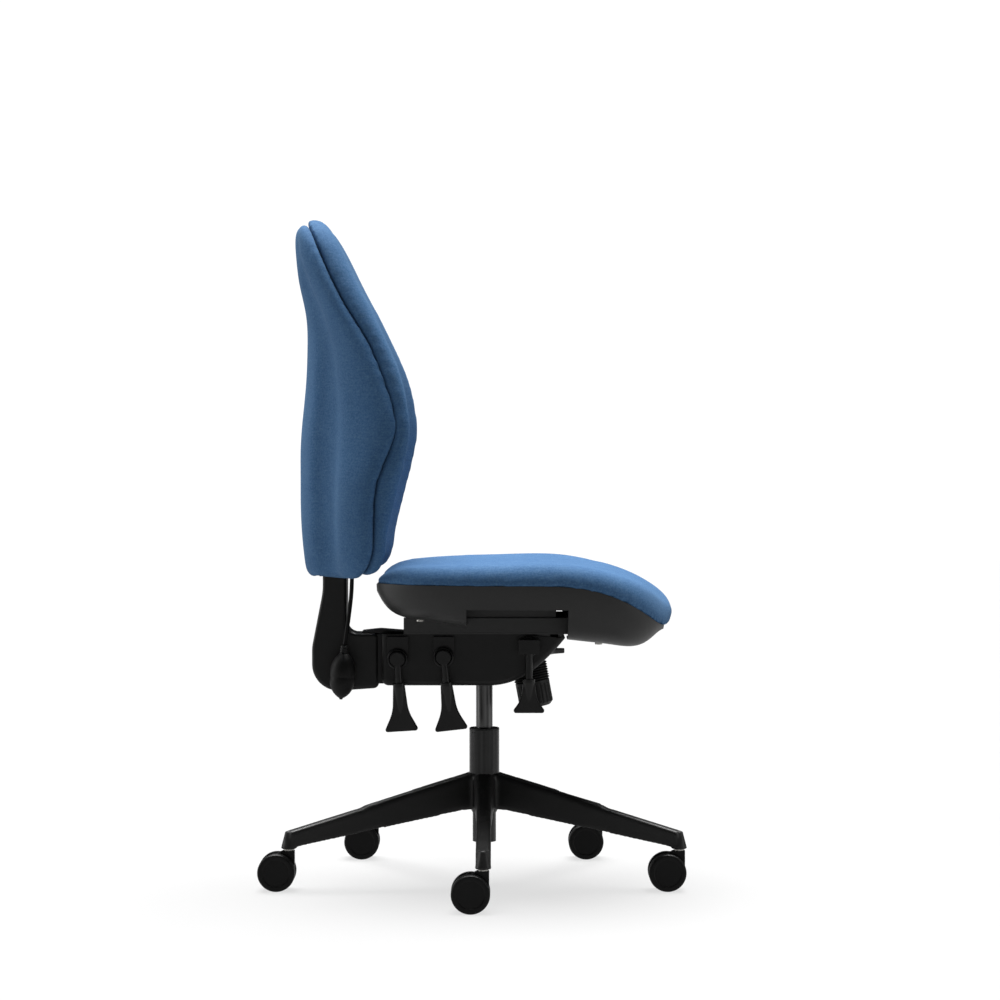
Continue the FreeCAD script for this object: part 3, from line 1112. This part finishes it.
def air_bulb():
    wall, length, neck = 2.5, BULB_LENGTH, HOSE_R + 2.5
    outer = [(BULB_TIP_R, 0.0), ((0.76 * BULB_R, 0.14 * length), (BULB_R, 0.46 * length)),
             ((0.80 * BULB_R, 0.84 * length), (neck, length))]
    inner = [(neck - wall, length), ((0.80 * BULB_R - wall, 0.82 * length), (BULB_R - wall, 0.46 * length)),
             ((0.76 * BULB_R - wall, 0.16 * length), (0.7, 0.0))]
    return turned(outer + inner, BULB_AT, bulb_axis())


def bulb_valve():
    """Inlet valve below the bulb and the ribbed collar between bulb and hose."""
    tip = BULB_TIP_R - 0.6
    inlet = turned([(0.8, -2.4), (tip - 0.7, -2.4), (tip, -1.7), (tip, -0.3), (0.8, -0.3)],
                   BULB_AT, bulb_axis())
    lip, low = HOSE_R + 2.5, BULB_LENGTH + 0.3
    ring = BULB_COLLAR / 3
    steps = [(1.5, low)]
    for number in range(3):
        at, out = low + number * ring, lip + 1.4 - 0.4 * number
        steps += [(out, at), (out, at + 0.7 * ring), (out - 1.2, at + 0.8 * ring), (out - 1.2, at + ring)]
    collar = turned(steps + [(1.5, low + BULB_COLLAR)], BULB_AT, bulb_axis())
    return Part.makeCompound([inlet, collar])


# All pieces by name
def all_pieces():
    pieces = {"star_base": star_base(), "stand_tube": stand_tube(), "guide_bush": guide_bush(),
              "thrust_bearing": thrust_bearing(), "piston_rod": piston_rod(),
              "gas_cylinder": gas_cylinder(), "valve_pin": valve_pin()}
    castor = castor_pieces()
    for number, along, across in leg_positions():
        for name, shape in castor.items():
            copy = shape.copy()
            copy.translate(Vector(CASTOR_CIRCLE_R * along, CASTOR_CIRCLE_R * across, 0))
            pieces["castor_%d_%s" % (number, name)] = copy

    pieces.update(mech_housing=mech_housing(), mech_chassis=mech_chassis(), pivot_pins=pivot_pins(),
                  release_rocker=release_rocker(), lever_bushes=lever_bushes(), tension_bolt=bolt(),
                  tension_spring=tension_spring(), tension_bellows=tension_bellows(),
                  tension_knob=tension_knob())
    levers = {"back": hung_lever("back", round_head, 46.0, 3.6, PADDLE_LENGTH),
              "seat": hung_lever("seat", round_head, 48.0, 6.4, PADDLE_LENGTH),
              "height": hung_lever("height", square_head, 60.0, 0.0, 0.68 * PADDLE_LENGTH),
              "slide": slide_lever()}
    for name, (rod, blade) in levers.items():
        pieces[name + "_lever_rod"] = rod
        pieces[name + "_lever_paddle"] = blade

    screws = shell_screws()
    board = seat_board()
    runners = slide_runners()
    pieces.update(seat_plate=seat_plate(), slide_rails=slide_rails(), slide_runners=runners,
                  seat_board=board.cut(screws.Solids + runners.Solids), seat_shell=seat_shell(board),
                  seat_cushion=seat_cushion(), arm_inserts=arm_inserts(), shell_screws=screws)

    pieces.update(back_bracket=back_bracket(), back_arm_cover=back_arm_cover(),
                  back_arm_cap=back_arm_cap(), back_board=back_board(0.0),
                  back_front_pad=back_front_pad(), back_rear_pad=back_rear_pad(back_board(PAD_CLEARANCE)),
                  ratchet_housing=ratchet_housing(), back_bezel=back_bezel(),
                  air_cell=air_cell(0.0, 0.0), air_hose=air_hose(), air_bulb=air_bulb(),
                  bulb_valve=bulb_valve())
    return pieces


os.makedirs("parts", exist_ok=True)
for piece_name, piece_shape in all_pieces().items():
    piece_shape.exportStep("parts/%s.step" % piece_name)
